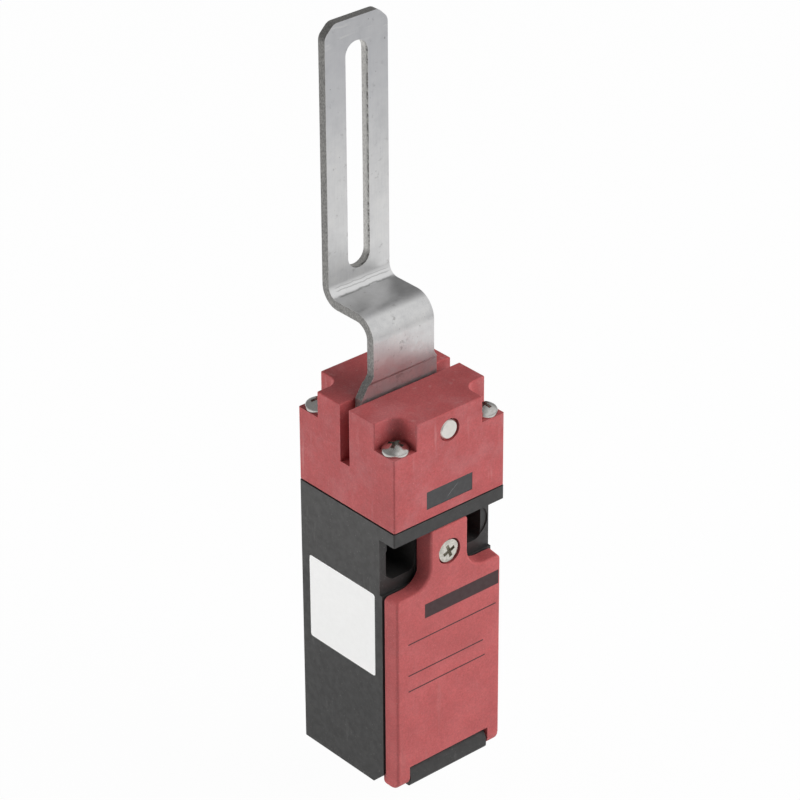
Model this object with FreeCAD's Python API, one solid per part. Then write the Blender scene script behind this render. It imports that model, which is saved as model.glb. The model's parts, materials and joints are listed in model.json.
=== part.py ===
"""Safety hinge switch with a slotted elbow lever, as separate parts in millimetres.

X runs across the switch, the front faces minus Y, and Z is up from the base.
"""
import FreeCAD, Part
import math
import os

V = FreeCAD.Vector

# Overall block
head_width = 30.0
head_height = 23.2
body_height = 64.8
body_proud = 0.1
edge_round = 0.35
top_round = 0.3

# Clearances
running_gap = 0.05
seat_gap = 0.05
moving_gap = 0.4
screw_gap = 0.2

# Head
pocket_side = 6.0
ledge_drop = 6.1
pivot_drop = 4.4
slot_width = 2.9
slot_behind_centre = 0.3
insert_width = 12.5
insert_height = 4.2
insert_depth = 2.0
insert_rise = 2.2
head_gasket_thickness = 0.35
head_gasket_inset = 0.5

# Pivot pin
pin_diameter = 4.5
pin_mouth_diameter = 5.2
pin_mouth_depth = 0.8
pin_end_recess = 0.1
pin_chamfer = 0.3

# Cross-recess screws, as shares of the head's radius or height
pan_rim = 0.2
flush_rim = 0.8
edge_share = 0.6
edge_turn = 55
crown_share = 0.76
cross_arm = 0.58
cross_web = 0.15
cross_floor = 0.4

# Head screws
head_screw_head = 5.8
head_screw_height = 2.0
head_screw_shank = 3.0
head_screw_grip = 2.55
head_screw_turn = 25
head_screw_turn_step = 40

# Lever
sheet = 2.0
lever_width = 16.3
lever_reach = 81.7
lever_chamfer = 2.4
lever_corner = 2.2
hub_radius = 11.2
hub_right = 9.1
hub_floor_gap = 0.8
flank_high = 9.45
flank_slope = 0.64
flank_corner = 0.8
joggle_low = 7.6
joggle_high = 8.2
joggle_bend = 0.3
elbow_rise = 22.1
plate_rear_inset = 0.15
shank_bend = 3.2
plate_bend = 2.5
plate_slot_width = 5.8
plate_slot_start = 4.2
plate_slot_margin = 5.1

# Body
body_wall = 2.0
rear_wall = 3.5
rear_pad_step = 0.2
flange_thickness = 3.1
shoulder_drop = 16.7
shoulder_step = 0.1
chamber_roof = 1.2
chamber_corner = 1.0
chamfer_behind = 7.1
chamfer_rise = 3.1

# Cable entry, tapping size for an M16 by 1.5 thread
entry_diameter = 14.5
entry_length = 9.0

# Mounting recesses and slots for M4 screws
mount_spacing = 20.0
mount_slot_width = 4.3
mount_slot_length = 5.3
recess_margin = 0.45
recess_low_wall = 2.6
recess_top_wall = 0.4
recess_depth = 12.4
recess_corner = 2.0
dish_diameter = 7.5
dish_spacing = 22.1
dish_drop = 1.0
dish_depth = 0.3
land_side = 0.1
land_gap = 0.5
land_rise = 0.2

# Front cover and its hinge
cover_inset = 0.3
cover_depth = 3.5
cover_draft = 0.45
cover_wall = 1.6
cover_round = 0.6
cover_corner = 1.0
tongue_width = 11.0
tongue_backing = 0.5
tongue_gap = 0.25
tongue_fillet = 5.0
tongue_corner = 0.8
notch_width = 22.2
notch_height = 5.4
hinge_behind = 2.3
hinge_height = 2.7
notch_gap = 0.4
ear_radius = 2.65
ear_low = 0.3
ear_heel = 5.05
heel_round = 1.0
ear_gap = 0.3
ear_skin_gap = 0.25
barrel_inset = 0.1
barrel_foot_round = 1.0
barrel_top_round = 2.8
trunnion_diameter = 2.4
trunnion_length = 2.4
cover_gasket_thickness = 0.4
cover_gasket_width = 1.1

# Captive cover screw and its brass insert
cover_screw_head = 5.4
cover_screw_height = 2.0
cover_screw_shank = 3.0
cover_screw_length = 6.3
cover_screw_turn = 20
cover_recess_diameter = 6.0
insert_wall = 0.6
insert_length = 5.9
retainer_diameter = 5.2
retainer_thickness = 0.4

# Sticker
label_width = 21.0
label_height = 20.3
label_middle_behind = 16.8
label_drop = 0.55
label_corner = 0.6
label_thickness = 0.1

# Plunger
plunger_diameter = 4.4
plunger_travel = 2.4
plunger_tip_round = 0.6
guide_diameter = 9.0
guide_length = 5.0
seal_diameter = 8.8
seal_height = 2.5

# Contact block
block_side_gap = 1.0
block_reach = 4.8
block_wall = 2.0
wiring_height = 8.0
plate_thickness = 1.5
barrier_thickness = 1.2
barrier_depth = 3.2
foot_drop = 5.0
foot_screw_inset = 2.5
block_screw_head = 4.4
block_screw_height = 1.6
block_screw_shank = 2.5
block_screw_grip = 2.5

# Contacts
strip_thickness = 0.8
strip_width = 5.0
strip_reach = 2.0
strip_side_gap = 0.3
tab_width = 5.8
tab_height = 6.0
terminal_rise = 3.2
clamp_side = 5.6
terminal_screw_head = 4.6
terminal_screw_height = 1.9
terminal_screw_shank = 3.0
terminal_screw_turn_step = 30
rivet_diameter = 2.4
rivet_height = 0.5
closed_gap = 0.05
open_margin = 0.15

# Contact carrier, bridges and springs
carrier_side = 5.0
carrier_stop = 0.3
closed_drop = 4.6
bridge_share = 0.33
bridge_end = 1.3
bridge_width = 2.8
bridge_thickness = 0.8
window_gap = 0.1
closed_spring_share = 0.29
open_spring_share = 0.445
carrier_foot = 2.1
contact_spring_diameter = 2.2
contact_spring_wire = 0.35
contact_spring_turns = 3
return_spring_diameter = 4.0
return_spring_wire = 0.5
return_spring_turns = 5

# Places worked out from the sizes above
front = -head_width / 2
rear = head_width / 2
head_base = body_height + head_gasket_thickness
head_top = head_base + head_height
ledge_level = head_top - ledge_drop
head_screw_length = ledge_level - body_height + head_screw_grip
pivot_level = head_top - pivot_drop
pocket_edge = head_width / 2 - pocket_side
screw_place = head_width / 2 - pocket_side / 2
lever_half = lever_width / 2
slot_floor = pivot_level - lever_half - hub_floor_gap
flank_left = flank_high - (hub_radius - lever_half) / flank_slope
flank_right = flank_high - (hub_right - lever_half) / flank_slope
well_radius = max(math.hypot(hub_radius, flank_left), math.hypot(hub_right, flank_right)) + moving_gap
elbow_offset = head_width / 2 - plate_rear_inset - sheet / 2
plunger_top = pivot_level - hub_radius - moving_gap
plunger_y = slot_behind_centre
body_half = head_width / 2 + body_proud
flange_low = body_height - flange_thickness
cover_rear = front + cover_depth
wall_front = cover_rear + cover_gasket_thickness + seat_gap
tongue_rear = cover_rear + tongue_backing
land_front = tongue_rear + land_gap
seat_front = land_front + land_rise
shoulder_height = body_height - shoulder_drop
step_level = shoulder_height + shoulder_step
chamber_half = body_half - body_wall
chamber_rear = rear - rear_wall
chamber_top = shoulder_height - chamber_roof
recess_low = step_level + recess_low_wall
recess_high = flange_low - recess_top_wall
recess_floor = seat_front + recess_depth
recess_outer = mount_spacing / 2 + mount_slot_length / 2 + recess_margin
mount_level = (recess_low + recess_high) / 2
cover_half = body_half - cover_inset
tongue_half = tongue_width / 2
tongue_top = flange_low - tongue_gap
land_half = tongue_half + land_side
cover_screw_level = (shoulder_height + flange_low) / 2
hinge_y = front + hinge_behind
ear_y = front + ear_radius
ear_level = ear_low + ear_radius
heel_y = front + ear_heel
toe_sweep = ear_radius + math.hypot(ear_y - hinge_y, ear_level - hinge_height)
heel_sweep = heel_round + math.hypot(heel_y - heel_round - hinge_y, ear_low + heel_round - hinge_height)
ear_sweep = max(toe_sweep, heel_sweep)
notch_half = notch_width / 2
barrel_half = notch_half - ear_gap
ear_half = cover_half - cover_draft
block_half = chamber_half - block_side_gap
block_front = plunger_y - block_reach
block_base = entry_length + wiring_height
foot_level = block_base - foot_drop / 2
foot_half = block_half - block_wall - seat_gap
foot_screw_place = foot_half - foot_screw_inset
terminal_place = block_half - block_wall - strip_side_gap - strip_width / 2
bridge_pitch = bridge_share * (chamber_top - block_base)
closed_spring_length = closed_spring_share * bridge_pitch
open_spring_length = open_spring_share * bridge_pitch
carrier_top = chamber_top - block_wall - carrier_stop
carrier_half = carrier_side / 2
closed_strip_low = carrier_top - closed_drop
closed_bridge_top = closed_strip_low - 2 * rivet_height - closed_gap
open_bridge_low = closed_bridge_top - bridge_pitch
open_strip_top = open_bridge_low - 2 * rivet_height - plunger_travel - open_margin
carrier_low = open_bridge_low - carrier_foot
tab_front = block_front - strip_thickness
clamp_front = tab_front - strip_thickness
sides = (-1, 1)


def place(plane, level, u, v):
    """Point at (u, v) on the plane that stands across the named axis at a level."""
    if plane == "x":
        return V(level, u, v)
    if plane == "y":
        return V(u, level, v)
    return V(u, v, level)


def outline(corners, plane, level):
    """Closed wire through (u, v, radius) corners, each rounded by its own radius."""
    points = [V(u, v, 0) for u, v, radius in corners]
    spans = []
    for index, (u, v, radius) in enumerate(corners):
        here = points[index]
        if radius == 0:
            spans.append((here, here, here))
            continue
        back = (points[index - 1] - here).normalize()
        ahead = (points[(index + 1) % len(points)] - here).normalize()
        half_angle = back.getAngle(ahead) / 2
        reach = radius / math.tan(half_angle)
        depth = radius / math.sin(half_angle) - radius
        middle = here + (back + ahead).normalize() * depth
        spans.append((here + back * reach, middle, here + ahead * reach))
    edges = []
    for index, span in enumerate(spans):
        start, middle, end = [place(plane, level, point.x, point.y) for point in span]
        if corners[index][2] > 0:
            edges.append(Part.Arc(start, middle, end).toShape())
        following = spans[(index + 1) % len(spans)][0]
        target = place(plane, level, following.x, following.y)
        if not end.isEqual(target, 1e-6):
            edges.append(Part.makeLine(end, target))
    return Part.Wire(edges)


def prism(corners, plane, start, end):
    """Solid with a rounded outline, from one level to another along the plane's axis."""
    return Part.Face(outline(corners, plane, start)).extrude(place(plane, end - start, 0, 0))


def rectangle(u_low, u_high, v_low, v_high, radius=0.0):
    """Corners of a rectangle, all with one radius."""
    corners = ((u_low, v_low), (u_high, v_low), (u_high, v_high), (u_low, v_high))
    return [(u, v, radius) for u, v in corners]


def block(x_low, x_high, y_low, y_high, z_low, z_high):
    """Box between two corners."""
    return Part.makeBox(x_high - x_low, y_high - y_low, z_high - z_low, V(x_low, y_low, z_low))


def rod(plane, u, v, radius, start, end):
    """Cylinder along the plane's axis, centred at (u, v)."""
    return Part.makeCylinder(radius, end - start, place(plane, start, u, v), place(plane, 1, 0, 0))


def ring(plane, u, v, outer, inner, start, end):
    """Tube along the plane's axis, centred at (u, v)."""
    return rod(plane, u, v, outer, start, end).cut(rod(plane, u, v, inner, start, end))


def soften(shape, radius, wanted):
    """Round every edge for which wanted(bounding box) holds."""
    edges = [edge for edge in shape.Edges if wanted(edge.BoundBox)]
    return shape.makeFillet(radius, edges)


def four_corners(distance):
    """Plan positions at the four corners of a square."""
    return [(side_x * distance, side_y * distance) for side_x in sides for side_y in sides]


def cross_screw(head_diameter, head_height, rim_share, shank_diameter, length, turn):
    """Cross-recess screw with a crowned head, pointing down, with its seat at Z = 0."""
    head_radius = head_diameter / 2
    shank_radius = shank_diameter / 2
    tip = shank_radius / 4
    rim = head_height * rim_share
    edge = (head_height - rim) * edge_share
    start = V(head_radius, 0, rim)
    angles = [math.radians(edge_turn * share) for share in (0.5, 1)]
    middle, end = [start + V(edge * (math.cos(angle) - 1), 0, edge * math.sin(angle)) for angle in angles]
    crown = V(end.x / 2, 0, end.z + (head_height - end.z) * crown_share)
    arcs = [Part.Arc(start, middle, end).toShape(), Part.Arc(end, crown, V(0, 0, head_height)).toShape()]
    straight = [V(0, 0, head_height), V(0, 0, -length), V(shank_radius - tip, 0, -length),
                V(shank_radius, 0, tip - length), V(shank_radius, 0, 0), V(head_radius, 0, 0),
                V(head_radius, 0, rim)]
    lines = [Part.makeLine(a, b) for a, b in zip(straight, straight[1:])]
    screw = Part.Face(Part.Wire(lines + arcs)).revolve(V(0, 0, 0), V(0, 0, 1), 360)
    arm = head_radius * cross_arm
    web = head_radius * cross_web
    floor = head_height * cross_floor
    for reach_x, reach_y in ((arm, web), (web, arm)):
        recess = block(-reach_x, reach_x, -reach_y, reach_y, floor, 2 * head_height)
        screw = screw.cut(recess)
    screw.rotate(V(0, 0, 0), V(0, 0, 1), turn)
    return screw


def facing_front(shape, x, y, z):
    """Turn a screw so that its head faces the front, and move its seat to a point."""
    shape.rotate(V(0, 0, 0), V(1, 0, 0), 90)
    shape.translate(V(x, y, z))
    return shape


def coil_spring(diameter, wire, turns, low, high):
    """Helical spring on the plunger's axis between two levels."""
    radius = (diameter - wire) / 2
    rise = high - low - wire
    helix = Part.Wire(Part.makeHelix(rise / turns, rise, radius))
    section = Part.Wire(Part.makeCircle(wire / 2, V(radius, 0, 0), V(0, 1, 0)))
    spring = helix.makePipeShell([section], True, True)
    spring.translate(V(0, plunger_y, low + wire / 2))
    return spring


def level_slice(shape, low, high):
    """Part of a moulding between two levels."""
    return shape.common(block(2 * front, 2 * rear, 2 * front, 2 * rear, low, high))


def head_moulding():
    """Red head: square base, four corner pockets, lever slot and plunger bore."""
    half = head_width / 2
    base = prism(rectangle(-half, half, -half, half, edge_round), "z", head_base, ledge_level)
    pocket_round = screw_place - pocket_edge
    lobes = []
    for turn_x, turn_y in ((1, 1), (-1, 1), (-1, -1), (1, -1)):
        beside = (turn_x * half, turn_y * pocket_edge, edge_round)
        inner = (turn_x * pocket_edge, turn_y * pocket_edge, pocket_round)
        ahead = (turn_x * pocket_edge, turn_y * half, edge_round)
        lobes += [beside, inner, ahead] if turn_x * turn_y > 0 else [ahead, inner, beside]
    head = base.fuse(prism(lobes, "z", ledge_level, head_top)).removeSplitter()
    slot_front = slot_behind_centre - slot_width / 2
    slot_rear = slot_behind_centre + slot_width / 2
    head = head.cut(block(-half - 1, half + 1, slot_front, slot_rear, slot_floor, head_top + 1))
    head = soften(head, top_round, lambda box: box.ZMin > head_top - 1e-6)
    head = head.cut(rod("y", 0, pivot_level, well_radius, slot_front, slot_rear))
    pin_bore = pin_diameter / 2 + running_gap
    head = head.cut(rod("y", 0, pivot_level, pin_bore, -half, half))
    mouth = pin_mouth_diameter / 2
    for start, end in ((-half, pin_mouth_depth - half), (half - pin_mouth_depth, half)):
        head = head.cut(rod("y", 0, pivot_level, mouth, start, end))
    plunger_bore = plunger_diameter / 2 + moving_gap
    head = head.cut(rod("z", 0, plunger_y, plunger_bore, head_base, plunger_top))
    head = head.cut(rod("z", 0, plunger_y, guide_diameter / 2, head_base, head_base + guide_length))
    hole = head_screw_shank / 2 + screw_gap
    for x, y in four_corners(screw_place):
        head = head.cut(rod("z", x, y, hole, head_base, ledge_level))
    low = head_base + insert_rise
    window = rectangle(-insert_width / 2, insert_width / 2, low, low + insert_height)
    return head.cut(prism(window, "y", front, front + insert_depth))


def head_insert():
    """Black plate let into the front of the head."""
    half = insert_width / 2 - seat_gap
    low = head_base + insert_rise + seat_gap
    high = head_base + insert_rise + insert_height - seat_gap
    return prism(rectangle(-half, half, low, high), "y", front + seat_gap, front + insert_depth)


def head_gasket():
    """Thin gasket between head and body."""
    half = head_width / 2 - head_gasket_inset
    sheet_blank = prism(rectangle(-half, half, -half, half, edge_round), "z", body_height, head_base)
    sheet_blank = sheet_blank.cut(rod("z", 0, plunger_y, seal_diameter / 2, body_height, head_base))
    for x, y in four_corners(screw_place):
        hole = head_screw_shank / 2 + screw_gap
        sheet_blank = sheet_blank.cut(rod("z", x, y, hole, body_height, head_base))
    return sheet_blank


def head_screws():
    """Four long screws from the head's ledges into the body."""
    screws = []
    for index, (x, y) in enumerate(four_corners(screw_place)):
        turn = head_screw_turn + head_screw_turn_step * index
        screw = cross_screw(head_screw_head, head_screw_height, pan_rim, head_screw_shank,
                            head_screw_length, turn)
        screw.translate(V(x, y, ledge_level))
        screws.append(screw)
    return Part.makeCompound(screws)


def lever_arm():
    """Bent stainless lever: round hub with a wide left flank, shank, elbow and slotted plate."""
    hub_front = slot_behind_centre - sheet / 2
    hub_rear = slot_behind_centre + sheet / 2
    shank_front = -sheet / 2
    shank_rear = sheet / 2
    plate_front = elbow_offset - sheet / 2
    plate_rear = elbow_offset + sheet / 2
    low = pivot_level - hub_radius
    high = pivot_level + lever_reach
    web_top = pivot_level + elbow_rise
    web_low = web_top - sheet
    bend_low = pivot_level + joggle_low
    bend_high = pivot_level + joggle_high
    side = [(hub_front, low, 0), (hub_front, bend_low, joggle_bend),
            (shank_front, bend_high, joggle_bend), (shank_front, web_top, shank_bend + sheet),
            (plate_front, web_top, plate_bend), (plate_front, high, 0), (plate_rear, high, 0),
            (plate_rear, web_low, plate_bend + sheet), (shank_rear, web_low, shank_bend),
            (shank_rear, bend_high, joggle_bend), (hub_rear, bend_low, joggle_bend), (hub_rear, low, 0)]
    bent = prism(side, "x", -hub_radius, hub_right)
    shank_foot = pivot_level + flank_high
    chamfer_low = high - lever_chamfer
    top_half = lever_half - lever_chamfer
    right = [(hub_right, pivot_level, 0), (hub_right, pivot_level + flank_right, flank_corner),
             (lever_half, shank_foot, flank_corner), (lever_half, chamfer_low, lever_corner),
             (top_half, high, lever_corner)]
    left = [(-top_half, high, lever_corner), (-lever_half, chamfer_low, lever_corner),
            (-lever_half, shank_foot, flank_corner), (-hub_radius, pivot_level + flank_left, flank_corner),
            (-hub_radius, pivot_level, 0)]
    blank = prism(right + left, "y", front, rear)
    blank = blank.fuse(rod("y", 0, pivot_level, hub_radius, front, rear)).removeSplitter()
    lever = bent.common(blank)
    slot_half = plate_slot_width / 2
    slot_low = web_top + plate_slot_start
    slot_high = high - plate_slot_margin
    slot = rectangle(-slot_half, slot_half, slot_low, slot_high, slot_half)
    lever = lever.cut(prism(slot, "y", plate_front, plate_rear))
    return lever.cut(rod("y", 0, pivot_level, pin_diameter / 2, front, rear))


def lever_pin():
    """Pivot pin that turns with the lever."""
    length = head_width - 2 * pin_end_recess
    pin = rod("y", 0, pivot_level, pin_diameter / 2, -length / 2, length / 2)
    return pin.makeChamfer(pin_chamfer, [edge for edge in pin.Edges if edge.BoundBox.YLength < 1e-6])


def housing_moulding():
    """Black housing: front flange, mounting recesses, open wiring chamber and hinge barrel."""
    lower_rear = rear - rear_pad_step
    side = [(lower_rear, 0, 0), (front + chamfer_behind, 0, 0), (wall_front, chamfer_rise, 0),
            (wall_front, step_level, 0), (seat_front, step_level, 0), (seat_front, flange_low, 0),
            (front, flange_low, 0), (front, body_height, 0), (rear, body_height, 0),
            (rear, chamber_top, 0), (lower_rear, chamber_top, 0)]
    body = prism(side, "x", -body_half, body_half)
    plan = rectangle(-body_half, body_half, front, rear, edge_round)
    body = body.common(prism(plan, "z", 0, body_height))
    body = body.fuse(block(-land_half, land_half, land_front, seat_front, step_level, flange_low))
    chamber = rectangle(-chamber_half, chamber_half, front, chamber_rear, chamber_corner)
    body = body.cut(prism(chamber, "z", entry_length, chamber_top))
    body = body.cut(side_label())
    body = body.cut(rod("z", 0, entry_middle(), entry_diameter / 2, 0, entry_length))
    for side_x in sides:
        body = body.cut(mounting_recess(side_x))
        ear_room = sorted((side_x * barrel_half, side_x * (ear_half + ear_skin_gap)))
        body = body.cut(rod("x", hinge_y, hinge_height, ear_sweep + ear_gap, *ear_room))
    body = body.cut(rod("z", 0, plunger_y, plunger_diameter / 2 + moving_gap, chamber_top, body_height))
    body = body.cut(rod("z", 0, plunger_y, seal_diameter / 2, body_height - seal_height, body_height))
    insert_bore = cover_screw_shank / 2 + moving_gap + insert_wall
    body = body.cut(rod("y", 0, cover_screw_level, insert_bore, land_front, land_front + insert_length))
    screw_tip = body_height - head_screw_grip
    for x, y in four_corners(screw_place):
        body = body.cut(rod("z", x, y, head_screw_shank / 2 + seat_gap, screw_tip - seat_gap, body_height))
    hole = block_screw_shank / 2 + seat_gap
    hole_end = chamber_rear + block_screw_grip + seat_gap
    for side_x in sides:
        body = body.cut(rod("y", side_x * foot_screw_place, foot_level, hole, chamber_rear, hole_end))
    return body.fuse(hinge_barrel()).removeSplitter()


def entry_middle():
    """Distance of the cable entry's axis from the centre plane, midway along the base."""
    return (front + chamfer_behind + rear - rear_pad_step) / 2


def mounting_recess(side_x):
    """Deep recess for a mounting screw's head, with a shallow dish in front and a slotted hole to the rear."""
    inner = side_x * land_half
    outer = side_x * recess_outer
    opening = rectangle(min(inner, outer), max(inner, outer), recess_low, recess_high, recess_corner)
    recess = prism(opening, "y", front, recess_floor)
    dish_x = side_x * dish_spacing / 2
    dish_level = mount_level - dish_drop
    recess = recess.fuse(rod("y", dish_x, dish_level, dish_diameter / 2, seat_front, seat_front + dish_depth))
    middle = side_x * mount_spacing / 2
    half_long = mount_slot_length / 2
    half_wide = mount_slot_width / 2
    slot_low = mount_level - half_wide
    slot_high = mount_level + half_wide
    slot = rectangle(middle - half_long, middle + half_long, slot_low, slot_high, half_wide)
    return recess.fuse(prism(slot, "y", recess_floor, rear))


def hinge_barrel():
    """Barrel on the body's lower front edge, with a trunnion at each end for the cover's ears."""
    barrel_front = front + barrel_inset
    barrel_high = notch_height - notch_gap
    section = [(front + chamfer_behind, barrel_inset, 0), (barrel_front, barrel_inset, barrel_foot_round),
               (barrel_front, barrel_high, barrel_top_round), (wall_front + body_wall, barrel_high, 0)]
    barrel = prism(section, "x", -barrel_half, barrel_half)
    reach = barrel_half + trunnion_length
    return barrel.fuse(rod("x", hinge_y, hinge_height, trunnion_diameter / 2, -reach, reach))


def side_label():
    """Plain sticker let into the left side."""
    middle = front + label_middle_behind
    high = shoulder_height - label_drop
    low = high - label_height
    corners = rectangle(middle - label_width / 2, middle + label_width / 2, low, high, label_corner)
    return prism(corners, "x", -body_half, label_thickness - body_half)


def cover_outline(drawn_in):
    """Corners of the cover's outline, with its sides drawn in."""
    side = cover_half - drawn_in
    tongue = tongue_half - drawn_in
    right = [(notch_half, notch_height, 0), (notch_half, ear_level, 0), (side, ear_level, 0),
             (side, shoulder_height, cover_corner), (tongue, shoulder_height, tongue_fillet),
             (tongue, tongue_top, tongue_corner)]
    return right + [(-x, z, radius) for x, z, radius in reversed(right)]


def front_cover():
    """Red cover: shallow shell with a screwed tongue on top and two hinge ears below."""
    rims = [outline(cover_outline(0), "y", cover_rear), outline(cover_outline(cover_draft), "y", front)]
    cover = Part.makeLoft(rims, True, True)
    cover = soften(cover, cover_round, lambda box: box.YMax < front + 1e-6 and box.ZMax > notch_height + 1e-6)
    backing = rectangle(-tongue_half, tongue_half, step_level + tongue_gap, tongue_top, tongue_corner)
    cover = cover.fuse(prism(backing, "y", cover_rear, tongue_rear)).removeSplitter()
    hollow_half = cover_half - cover_wall
    hollow_low = notch_height + cover_wall
    hollow_high = shoulder_height - cover_wall
    hollow = rectangle(-hollow_half, hollow_half, hollow_low, hollow_high, chamber_corner)
    cover = cover.cut(prism(hollow, "y", front + cover_wall, cover_rear))
    seat = front + cover_recess_depth()
    cover = cover.cut(rod("y", 0, cover_screw_level, cover_recess_diameter / 2, front, seat))
    cover = cover.cut(rod("y", 0, cover_screw_level, cover_screw_shank / 2 + screw_gap, seat, tongue_rear))
    for side_x in sides:
        start, end = sorted((side_x * notch_half, side_x * ear_half))
        ear = [(front, ear_level, 0), (front, ear_low, ear_radius), (heel_y, ear_low, heel_round),
               (heel_y, ear_level, 0)]
        ear = soften(prism(ear, "x", start, end), cover_round, on_ear_outside)
        cover = cover.fuse(ear)
    bore_half = barrel_half + trunnion_length + screw_gap
    bore = rod("x", hinge_y, hinge_height, trunnion_diameter / 2 + running_gap, -bore_half, bore_half)
    return cover.cut(bore).removeSplitter()


def on_ear_outside(box):
    """True for an edge round the outer face of an ear, below the cover's plate."""
    outside = min(abs(box.XMin), abs(box.XMax)) > ear_half - 1e-6
    return outside and box.ZMin < ear_level - 1e-6


def cover_recess_depth():
    """Depth of the round recess that holds the cover screw's head just below flush."""
    return cover_screw_height + screw_gap / 2


def cover_gasket():
    """Frame gasket on the cover's rim."""
    inner_half = cover_half - cover_wall
    low = notch_height + cover_wall
    high = shoulder_height - cover_wall
    width = cover_gasket_width
    outer_half = inner_half + width
    outer = rectangle(-outer_half, outer_half, low - width, high + width, chamber_corner + width)
    inner = rectangle(-inner_half, inner_half, low, high, chamber_corner)
    end = cover_rear + cover_gasket_thickness
    return prism(outer, "y", cover_rear, end).cut(prism(inner, "y", cover_rear, end))


def cover_screw():
    """Captive screw in the cover's tongue."""
    screw = cross_screw(cover_screw_head, cover_screw_height, flush_rim, cover_screw_shank,
                        cover_screw_length, cover_screw_turn)
    return facing_front(screw, 0, front + cover_recess_depth(), cover_screw_level)


def screw_retainer():
    """Ring behind the tongue that keeps the screw in the cover."""
    bore = cover_screw_shank / 2 + seat_gap
    end = tongue_rear + retainer_thickness
    return ring("y", 0, cover_screw_level, retainer_diameter / 2, bore, tongue_rear, end)


def cover_screw_insert():
    """Brass insert in the body that takes the cover screw."""
    bore = cover_screw_shank / 2 + moving_gap
    return ring("y", 0, cover_screw_level, bore + insert_wall, bore, land_front, land_front + insert_length)


def plunger_guide():
    """Guide bush in the underside of the head."""
    bore = plunger_diameter / 2 + running_gap
    return ring("z", 0, plunger_y, guide_diameter / 2, bore, head_base, head_base + guide_length)


def plunger_seal():
    """Wiper seal in the top of the body."""
    bore = plunger_diameter / 2 + running_gap
    return ring("z", 0, plunger_y, seal_diameter / 2, bore, body_height - seal_height, body_height)


def drive_plunger():
    """Rod from the lever's hub down to the contact carrier."""
    plunger = rod("z", 0, plunger_y, plunger_diameter / 2, carrier_top, plunger_top)
    return soften(plunger, plunger_tip_round, lambda box: box.ZMin > plunger_top - 1e-6)


def contact_block():
    """Moulded block that holds the fixed contacts, open to the rear, with barriers between terminals."""
    body = block(-block_half, block_half, block_front, chamber_rear, block_base, chamber_top)
    inner = block_half - block_wall
    body = body.cut(block(-inner, inner, block_front + block_wall, chamber_rear,
                          block_base + block_wall, chamber_top - block_wall))
    barrier_front = block_front - barrier_depth
    half_barrier = barrier_thickness / 2
    for middle in (half_barrier - block_half, 0, block_half - half_barrier):
        body = body.fuse(block(middle - half_barrier, middle + half_barrier, barrier_front, block_front,
                               block_base, chamber_top))
    foot_front = chamber_rear - plate_thickness - seat_gap
    foot_room = foot_half + seat_gap
    foot_slot = block(-foot_room, foot_room, foot_front, chamber_rear, block_base, block_base + block_wall)
    body = body.cut(foot_slot)
    bore = plunger_diameter / 2 + moving_gap
    body = body.cut(rod("z", 0, plunger_y, bore, chamber_top - block_wall, chamber_top))
    wall_rear = block_front + block_wall
    for x, screw_level, strip_low in terminals():
        hole = terminal_screw_shank / 2 + seat_gap
        body = body.cut(rod("y", x, screw_level, hole, block_front, wall_rear))
        half = strip_width / 2 + seat_gap
        body = body.cut(block(x - half, x + half, block_front, wall_rear,
                              strip_low - seat_gap, strip_low + strip_thickness + seat_gap))
    return body.removeSplitter()


def terminals():
    """Each terminal's position across, its screw's height and its strip's underside."""
    closed = closed_strip_low + terminal_rise
    opened = open_strip_top - terminal_rise
    open_strip_low = open_strip_top - strip_thickness
    across = [side_x * terminal_place for side_x in sides]
    return [(x, closed, closed_strip_low) for x in across] + [(x, opened, open_strip_low) for x in across]


def block_rear_plate():
    """Plate that closes the back of the contact block, with a foot below for two screws."""
    start = chamber_rear - plate_thickness
    high = chamber_top - block_wall - seat_gap
    plate = block(-foot_half, foot_half, start, chamber_rear, block_base - foot_drop, high)
    hole = block_screw_shank / 2 + seat_gap
    for side_x in sides:
        plate = plate.cut(rod("y", side_x * foot_screw_place, foot_level, hole, start, chamber_rear))
    return plate


def block_screws():
    """Two screws that hold the contact block's rear plate to the housing."""
    screws = []
    seat = chamber_rear - plate_thickness
    length = plate_thickness + block_screw_grip
    for side_x in sides:
        screw = cross_screw(block_screw_head, block_screw_height, pan_rim, block_screw_shank, length, 0)
        screws.append(facing_front(screw, side_x * foot_screw_place, seat, foot_level))
    return Part.makeCompound(screws)


def fixed_contact(x, closed):
    """Strip with a rivet inside the block and a terminal tab on its front."""
    strip_low = closed_strip_low if closed else open_strip_top - strip_thickness
    strip_high = strip_low + strip_thickness
    half = strip_width / 2
    contact = block(x - half, x + half, tab_front, plunger_y + strip_reach, strip_low, strip_high)
    tab_low = strip_low if closed else strip_high - tab_height
    half_tab = tab_width / 2
    tab = block(x - half_tab, x + half_tab, tab_front, block_front, tab_low, tab_low + tab_height)
    contact = contact.fuse(tab)
    rivet_low = strip_low - rivet_height if closed else strip_high
    contact = contact.fuse(rod("z", x, plunger_y, rivet_diameter / 2, rivet_low, rivet_low + rivet_height))
    screw_level = strip_low + terminal_rise if closed else strip_high - terminal_rise
    hole = rod("y", x, screw_level, terminal_screw_shank / 2 + seat_gap, tab_front, block_front)
    return contact.cut(hole).removeSplitter()


def fixed_contacts(closed):
    """Pair of fixed contacts, of the closed or the open circuit."""
    return Part.makeCompound([fixed_contact(side_x * terminal_place, closed) for side_x in sides])


def terminal_clamps():
    """Square clamp plates under the terminal screws."""
    clamps = []
    half = clamp_side / 2
    for x, level, strip_low in terminals():
        square = rectangle(x - half, x + half, level - half, level + half, edge_round)
        hole = rod("y", x, level, terminal_screw_shank / 2 + seat_gap, clamp_front, tab_front)
        clamps.append(prism(square, "y", clamp_front, tab_front).cut(hole))
    return Part.makeCompound(clamps)


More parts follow.
